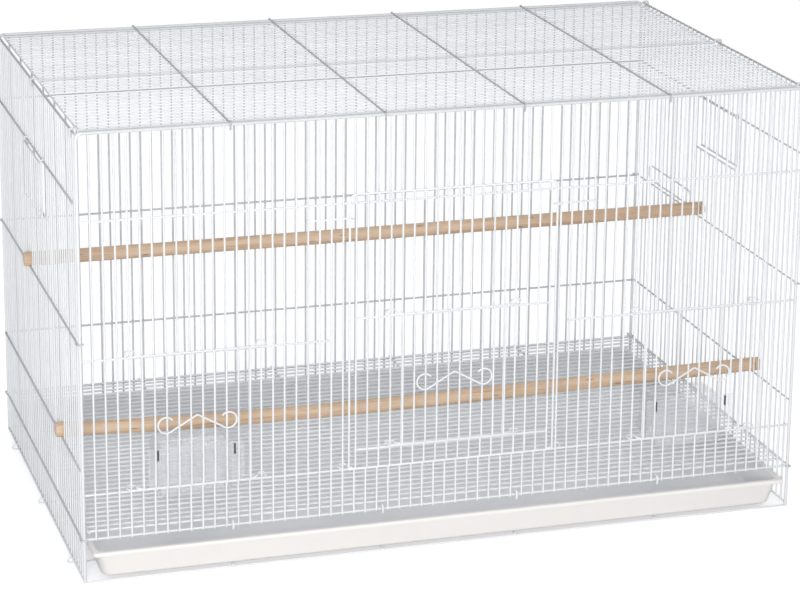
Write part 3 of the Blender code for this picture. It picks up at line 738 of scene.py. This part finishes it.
def make_nest_door(name, x, outward, body):
    w = Wires()
    axis = x + outward * 0.00195
    eye = 0.00245               # the hooks' radius round the side panel's upper wire
    hang = axis + outward * eye
    foot, head = NEST_FOOT, NEST - 0.0027
    inset, past = 0.35, 0.0009  # the side wires, in spaces; the bars past their welds
    sides = (inward(NEST_START + inset), inward(NEST_END - inset))
    for level in (foot, head):
        w.bar((hang, sides[0] - 0.0018, level), (hang, sides[1] + 0.0018, level), BARE, sides=10)
    out = hang + outward * 0.0009
    for place in range(NEST_START + 1, NEST_END):
        ends = (out, inward(place), foot - past), (out, inward(place), head + past)
        w.bar(*ends, THIN, [past, head - foot + past])
    for y in sides:
        loop = [(hang, y, foot - 0.0008), (hang, y, NEST - 0.001)]
        for angle in (0, 40, 80, 120, 160, 200, 235):
            t = math.radians(angle)
            loop.append((axis + outward * eye * math.cos(t), y, NEST + eye * math.sin(t)))
        w.sweep(loop, THIN)
    make_wires(name + "_wires", w, body, name)


def make_loop():
    w = Wires()
    x = RIGHT - 0.0024
    centre = PERCH + 0.008 + LOOP_RADIUS
    first, last = inward(LOOP_START), inward(LOOP_END)
    low, high = centre - LOOP_RADIUS, centre + LOOP_RADIUS
    path = [(x, first, low), (x, last, low), (x, last, high), (x, first, high)]
    w.bent(path, THIN, LOOP_RADIUS, closed=True, sides=8, steps=8)
    make_wires("greens_loop", w, "cage", "wire_loop")


# ---------------------------------------------------------------- tray
def outline(half_x, front, back, radius, z, steps=8):
    points = []
    for side, edge, start in ((1, back, 0), (-1, back, 90), (-1, front, 180), (1, front, 270)):
        cx = side * (half_x - radius)
        cy = edge - radius if edge > front else edge + radius
        for step in range(steps + 1):
            angle = math.radians(start + step * 90 / steps)
            points.append((cx + radius * math.cos(angle), cy + radius * math.sin(angle), z))
    return points


def make_tray():
    half = RIGHT - 0.0071
    front, back = FRONT - 0.0100, BACK - 0.0050
    bottom, top = 0.0042, 0.0342
    sections = [        # inset, height and corner radius, from the underside round to the inside
        (0.0300, bottom + 0.0006, 0.012), (0.0290, bottom, 0.012),
        (0.0140, bottom, 0.009), (0.0127, bottom + 0.0003, 0.009), (0.0116, bottom + 0.0012, 0.009),
        (0.0106, bottom + 0.0030, 0.009), (0.0057, top - 0.0050, 0.008),
        (0.0053, top - 0.0043, 0.008), (0.0044, top - 0.0039, 0.007),
        (0.0016, top - 0.0037, 0.006), (0.0009, top - 0.0041, 0.0055),
        (0.0002, top - 0.0041, 0.0048), (0.0000, top - 0.0036, 0.0045),
        (0.0000, top - 0.0009, 0.0045), (0.0003, top - 0.0002, 0.0045), (0.0009, top, 0.0045),
        (0.0052, top, 0.006), (0.0060, top - 0.0003, 0.007), (0.0068, top - 0.0012, 0.008),
        (0.0124, bottom + 0.0048, 0.010), (0.0132, bottom + 0.0032, 0.010),
        (0.0146, bottom + 0.0022, 0.012),
        (0.0172, bottom + 0.0018, 0.012),
    ]
    last_outside = 17
    verts, faces, tones = [], [], []
    for number, (inset, z, radius) in enumerate(sections):
        ring = outline(half - inset, front + inset, back - inset, radius, z)
        verts += ring
        # 1 on the inside faces, which get the painted shade
        tones += [float(number > last_outside)] * len(ring)
    count = len(verts) // len(sections)
    for i in range(len(sections) - 1):
        for k in range(count):
            m = (k + 1) % count
            a, b = i * count, (i + 1) * count
            faces.append((a + k, a + m, b + m, b + k))
    faces.append(tuple(reversed(range(count))))
    faces.append(tuple(range(len(verts) - count, len(verts))))
    make_piece("tray_pan", verts, faces, "tray", ["tray"], tray_white, tones)


# ---------------------------------------------------------------- perches
def make_perch(name, place, level, sag):
    """A dowel, a little bowed, notched where it lies between two bars."""
    radius = 0.0075
    wire, gap = 0.0009, 0.0003
    y, z = inward(place), level + wire + gap + radius
    end = RIGHT + 0.0085
    notched = 0.0048            # the dowel's half width in a notch
    stations = []               # place along it, share of its thickness, 1 in a notch
    for side in (-1, 1):
        for d, shrink in ((0, 0.82), (0.0002, 0.93), (0.0007, 0.985), (0.0014, 1)):
            stations.append((side * (end - d), shrink, 0))
        for d, notch in ((-0.0024, 0), (-0.0019, 1), (0.0019, 1), (0.0024, 0)):
            stations.append((side * (RIGHT - d), 1, notch))
    stations += [(x / 20 * (RIGHT - 0.006), 1, 0) for x in range(-20, 21)]
    stations.sort()
    verts, faces, tones, sides = [], [], [], 32
    for x, shrink, notch in stations:
        drop = -sag * max(0.0, 1 - (x / RIGHT) ** 2) * (1 - 0.7 * x / RIGHT)
        wobble = 1 + 0.012 * math.sin(x * 23 + place) + 0.006 * math.sin(x * 61)
        for k in range(sides):
            angle = 2 * math.pi * k / sides
            reach = radius * shrink * (wobble if abs(x) < RIGHT - 0.004 else 1)
            py, pz = reach * math.cos(angle), reach * math.sin(angle)
            if notch:
                py = max(-notched, min(notched, py))
            verts.append((x, y + py, z + pz + drop))
            tones.append(float(abs(x) > end - 0.0005))
    for i in range(len(stations) - 1):
        for k in range(sides):
            m = (k + 1) % sides
            faces.append((i * sides + k, i * sides + m, (i + 1) * sides + m, (i + 1) * sides + k))
    faces.append(tuple(reversed(range(sides))))
    faces.append(tuple(range(len(verts) - sides, len(verts))))
    piece = make_piece(name + "_dowel", verts, faces, "cage", [name], wood, tones)
    piece.data.set_sharp_from_angle(angle=math.radians(35))


# ---------------------------------------------------------------- cups
EAR_REACH, SLOT_BESIDE, SLOT_HALF = 0.0125, 0.0020, 0.0009


def block(name, low, high, round_by=0.0, segments=4):
    """A box between two corners, with rounded edges."""
    bm = bmesh.new()
    made = bmesh.ops.create_cube(bm, size=1)["verts"]
    bmesh.ops.scale(bm, vec=Vector(high) - Vector(low), verts=made)
    bmesh.ops.translate(bm, vec=(Vector(low) + Vector(high)) / 2, verts=made)
    if round_by:
        bmesh.ops.bevel(
            bm, geom=bm.edges[:], offset=round_by, segments=segments, affect="EDGES", profile=0.5
        )
    mesh = bpy.data.meshes.new(name)
    bmesh.ops.recalc_face_normals(bm, faces=bm.faces)
    bm.to_mesh(mesh)
    bm.free()
    made = bpy.data.objects.new(name, mesh)
    bpy.context.scene.collection.objects.link(made)
    return made


def arch_top(item, front, back, level, height):
    """Lift the upper face into a shallow arch from front to back."""
    bm = bmesh.new()
    bm.from_mesh(item.data)
    long_edges = [e for e in bm.edges if abs(e.verts[0].co.y - e.verts[1].co.y) > 0.02]
    bmesh.ops.subdivide_edges(bm, edges=long_edges, cuts=8)
    for v in bm.verts:
        if v.co.z > level:
            t = (v.co.y - front) / (back - front)
            v.co.z += height * math.sin(math.pi * min(1, max(0, t)) ** 0.8)
    bm.to_mesh(item.data)
    bm.free()


def make_cup(name, place):
    """A hooded cup with a mouth toward the cabin and a slotted ear on each side."""
    x = across(place)
    front, back = FRONT + 0.0015, FRONT + 0.0560
    low, high = FEED - 0.0115, FEED + 0.039
    half, wall = 0.037, 0.0016
    shell_round, hollow_round, mouth_round, ears_round = 0.0045, 0.0032, 0.004, 0.0008
    body = block(name + "_shell", (x - half, front, low), (x + half, back, high), shell_round, 5)
    arch_level, arch_rise = high - 0.012, 0.002
    arch_top(body, front, back, arch_level, arch_rise)
    hollow_low = (x - half + wall, front + wall, low + wall)
    hollow_high = (x + half - wall, back - wall, high - wall)
    hollow = block(name + "_hollow", hollow_low, hollow_high, hollow_round, 5)
    arch_top(hollow, front, back, arch_level, arch_rise)
    ears_low = (x - half - EAR_REACH, FRONT - 0.0002, FEED + 0.0016)
    ears_high = (x + half + EAR_REACH, FRONT + 0.0020, FEED + 0.0425)
    ears = block(name + "_ears", ears_low, ears_high, ears_round, 2)
    mouth_low = (x - half + 0.005, back - 0.004, low + 0.025)
    mouth_high = (x + half - 0.005, back + 0.004, high - 0.0035)
    mouth = block(name + "_mouth", mouth_low, mouth_high, mouth_round, 5)
    cuts = [("UNION", ears), ("DIFFERENCE", hollow), ("DIFFERENCE", mouth)]
    for side in (-1, 1):
        middle = x + side * (half + SLOT_BESIDE)
        slot_low = (middle - SLOT_HALF, FRONT - 0.005, FEED + 0.0295)
        slot_high = (middle + SLOT_HALF, FRONT + 0.0014, FEED + 0.0405)
        cuts.append(("DIFFERENCE", block(name + "_slot", slot_low, slot_high)))
    for operation, other in cuts:
        step = body.modifiers.new(operation, "BOOLEAN")
        step.object, step.operation, step.solver = other, operation, "EXACT"
    soften = body.modifiers.new("soften", "BEVEL")
    soften.width, soften.segments = 0.0003, 2
    soften.limit_method, soften.angle_limit = "ANGLE", math.radians(50)
    graph = bpy.context.evaluated_depsgraph_get()
    mesh = bpy.data.meshes.new_from_object(body.evaluated_get(graph))
    body.modifiers.clear()
    bm = bmesh.new()
    bm.from_mesh(mesh)
    bmesh.ops.remove_doubles(bm, verts=bm.verts[:], dist=0.00003)
    bmesh.ops.dissolve_degenerate(bm, dist=0.00001, edges=bm.edges[:])
    bmesh.ops.triangulate(bm, faces=[f for f in bm.faces if len(f.verts) > 4])
    bm.to_mesh(mesh)
    bm.free()
    body.data = mesh
    for _, other in cuts:
        bpy.data.objects.remove(other)
    mesh.materials.clear()
    mesh.materials.append(clear)
    mesh.materials.append(slit_painted_shade)
    mesh.shade_smooth()
    # painted shade: the slots' inner faces near the front get the near-black material
    for face in mesh.polygons:
        off = abs(abs(face.center.x - x) - half - SLOT_BESIDE)
        deep = FRONT + 0.0001 < face.center.y < FRONT + 0.0015
        if off < 0.00095 and deep and face.center.z > FEED + 0.029:
            face.material_index = 1
    mesh.set_sharp_from_angle(angle=math.radians(40))
    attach(body, "cage")
    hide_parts(name)


make_front()
make_back()
make_side("left_panel", LEFT, -1)
make_side("right_panel", RIGHT, 1)
make_roof()
make_grille()
make_base()
make_large_door()
make_small_door(
    "inner_door", INNER_GUIDE, FRONT - INNER_LAYER, INNER_FOOT, "inner_door", INNER_HOOK_DEPTH
)
make_small_door("left_cup_door", CUP_GUIDE, FRONT, FEED, "left_cup_door")
make_small_door("right_cup_door", RIGHT_CUP_GUIDE, FRONT, FEED, "right_cup_door")
make_catch("left_door_catch", LARGE_GUIDE, 1)
make_catch("right_door_catch", LARGE_END, -1)
make_nest_door("left_nest_door", LEFT, -1, "left_nest_door")
make_nest_door("right_nest_door", RIGHT, 1, "right_nest_door")
make_loop()
make_tray()
make_perch("upper_perch", UPPER_PLACE, PERCH, sag=0.0005)
make_perch("lower_perch", LOWER_PLACE, LOW_PERCH, sag=0.0060)
make_cup("left_cup", CUP_PLACE)
make_cup("right_cup", SPACES_WIDE - CUP_PLACE)


# ---------------------------------------------------------------- floor, light and camera
FLOOR_HALF, FLOOR_GLOW, SHADE_REACH = 20, 0.60, 0.12
FILL_COLOR, FILL_STRENGTH = (0.90, 0.945, 1, 1), 0.275
LAMPS_AIM = Vector((0, 0, 0.2))
LENS, SENSOR, SHIFT = 126.61, 36, (-0.06393, -0.1250)
CAMERA_AT = (-0.84517, -2.79832, 1.12075)
CAMERA_RIGHT = (0.95148389, -0.30737515, 0.01410392)
CAMERA_UP = (0.06924764, 0.2585676, 0.96350795)


def seen_share(nodes, links):
    """1 for the rays of the camera, of reflections and of clear plastic, 0 for the rest."""
    path = nodes.new("ShaderNodeLightPath")
    total = path.outputs["Is Camera Ray"]
    for name in ("Is Glossy Ray", "Is Transmission Ray"):
        add = nodes.new("ShaderNodeMath")
        add.operation, add.use_clamp = "ADD", True
        links.new(total, add.inputs[0])
        links.new(path.outputs[name], add.inputs[1])
        total = add.outputs[0]
    return total


def make_floor():
    mesh = bpy.data.meshes.new("floor")
    corners = [(x * FLOOR_HALF, y * FLOOR_HALF, 0) for x, y in ((-1, -1), (1, -1), (1, 1), (-1, 1))]
    mesh.from_pydata(corners, [], [(0, 1, 2, 3)])
    floor = bpy.data.objects.new("floor", mesh)
    bpy.context.scene.collection.objects.link(floor)
    made, nodes, links, shader = new_material("floor_white")
    nodes.remove(shader)
    plain, lit = nodes.new("ShaderNodeBsdfDiffuse"), nodes.new("ShaderNodeBsdfDiffuse")
    plain.inputs["Color"].default_value = (0.8, 0.8, 0.8, 1)
    lit.inputs["Color"].default_value = (0.80, 0.80, 0.81, 1)
    glow, both = nodes.new("ShaderNodeEmission"), nodes.new("ShaderNodeAddShader")
    mix = nodes.new("ShaderNodeMixShader")
    near = nodes.new("ShaderNodeAmbientOcclusion")
    near.inputs["Distance"].default_value = SHADE_REACH
    near.samples = 8
    shade = ramp(nodes, links, near.outputs["AO"], [
        (0.0, (0.55, 0.55, 0.57)), (0.55, (0.86, 0.86, 0.87)), (0.95, WHITE),
    ])
    links.new(shade, glow.inputs["Color"])
    glow.inputs["Strength"].default_value = FLOOR_GLOW
    links.new(lit.outputs[0], both.inputs[0])
    links.new(glow.outputs[0], both.inputs[1])
    links.new(seen_share(nodes, links), mix.inputs["Fac"])
    links.new(plain.outputs[0], mix.inputs[1])
    links.new(both.outputs[0], mix.inputs[2])
    links.new(mix.outputs[0], nodes["Material Output"].inputs["Surface"])
    mesh.materials.append(made)


def make_world():
    world = bpy.data.worlds.new("studio")
    bpy.context.scene.world = world
    world.use_nodes = True
    nodes, links = world.node_tree.nodes, world.node_tree.links
    fill, white = nodes["Background"], nodes.new("ShaderNodeBackground")
    mix = nodes.new("ShaderNodeMixShader")
    fill.inputs["Color"].default_value = FILL_COLOR
    fill.inputs["Strength"].default_value = FILL_STRENGTH
    white.inputs["Color"].default_value = (*WHITE, 1)
    white.inputs["Strength"].default_value = 1
    links.new(seen_share(nodes, links), mix.inputs["Fac"])
    links.new(fill.outputs[0], mix.inputs[1])
    links.new(white.outputs[0], mix.inputs[2])
    links.new(mix.outputs[0], nodes["World Output"].inputs["Surface"])


def place_lamp(data, azimuth, elevation, distance):
    """A lamp that shines at the cage; azimuth 0 is straight in front of it."""
    lamp = bpy.data.objects.new(data.name, data)
    a, e = math.radians(azimuth), math.radians(elevation)
    toward = Vector((math.sin(a) * math.cos(e), -math.cos(a) * math.cos(e), math.sin(e)))
    lamp.location = toward * distance + LAMPS_AIM
    lamp.rotation_mode = "QUATERNION"
    lamp.rotation_quaternion = toward.to_track_quat("Z", "Y")
    bpy.context.scene.collection.objects.link(lamp)


def make_sun(name, azimuth, elevation, strength, angle):
    data = bpy.data.lights.new(name, "SUN")
    data.energy, data.angle = strength, math.radians(angle)
    place_lamp(data, azimuth, elevation, 1)


def make_soft_box(name, azimuth, elevation, distance, size, power):
    data = bpy.data.lights.new(name, "AREA")
    data.shape, data.size, data.energy = "SQUARE", size, power
    place_lamp(data, azimuth, elevation, distance)


def make_camera():
    data = bpy.data.cameras.new("camera")
    data.lens, data.sensor_width = LENS, SENSOR
    data.shift_x, data.shift_y = SHIFT
    data.clip_start, data.clip_end = 0.05, 60
    camera = bpy.data.objects.new("camera", data)
    right, up = Vector(CAMERA_RIGHT).normalized(), Vector(CAMERA_UP).normalized()
    right_up = Matrix((right, up, right.cross(up))).transposed()
    camera.matrix_world = Matrix.Translation(CAMERA_AT) @ right_up.to_4x4()
    bpy.context.scene.collection.objects.link(camera)
    bpy.context.scene.camera = camera


make_floor()
make_world()
make_soft_box("key", azimuth=-18, elevation=15, distance=4.0, size=0.9, power=106)
make_sun("top", azimuth=10, elevation=64, strength=0.42, angle=40)
make_sun("behind", azimuth=166, elevation=34, strength=0.60, angle=30)
make_camera()
bpy.context.scene.view_settings.view_transform = "Standard"
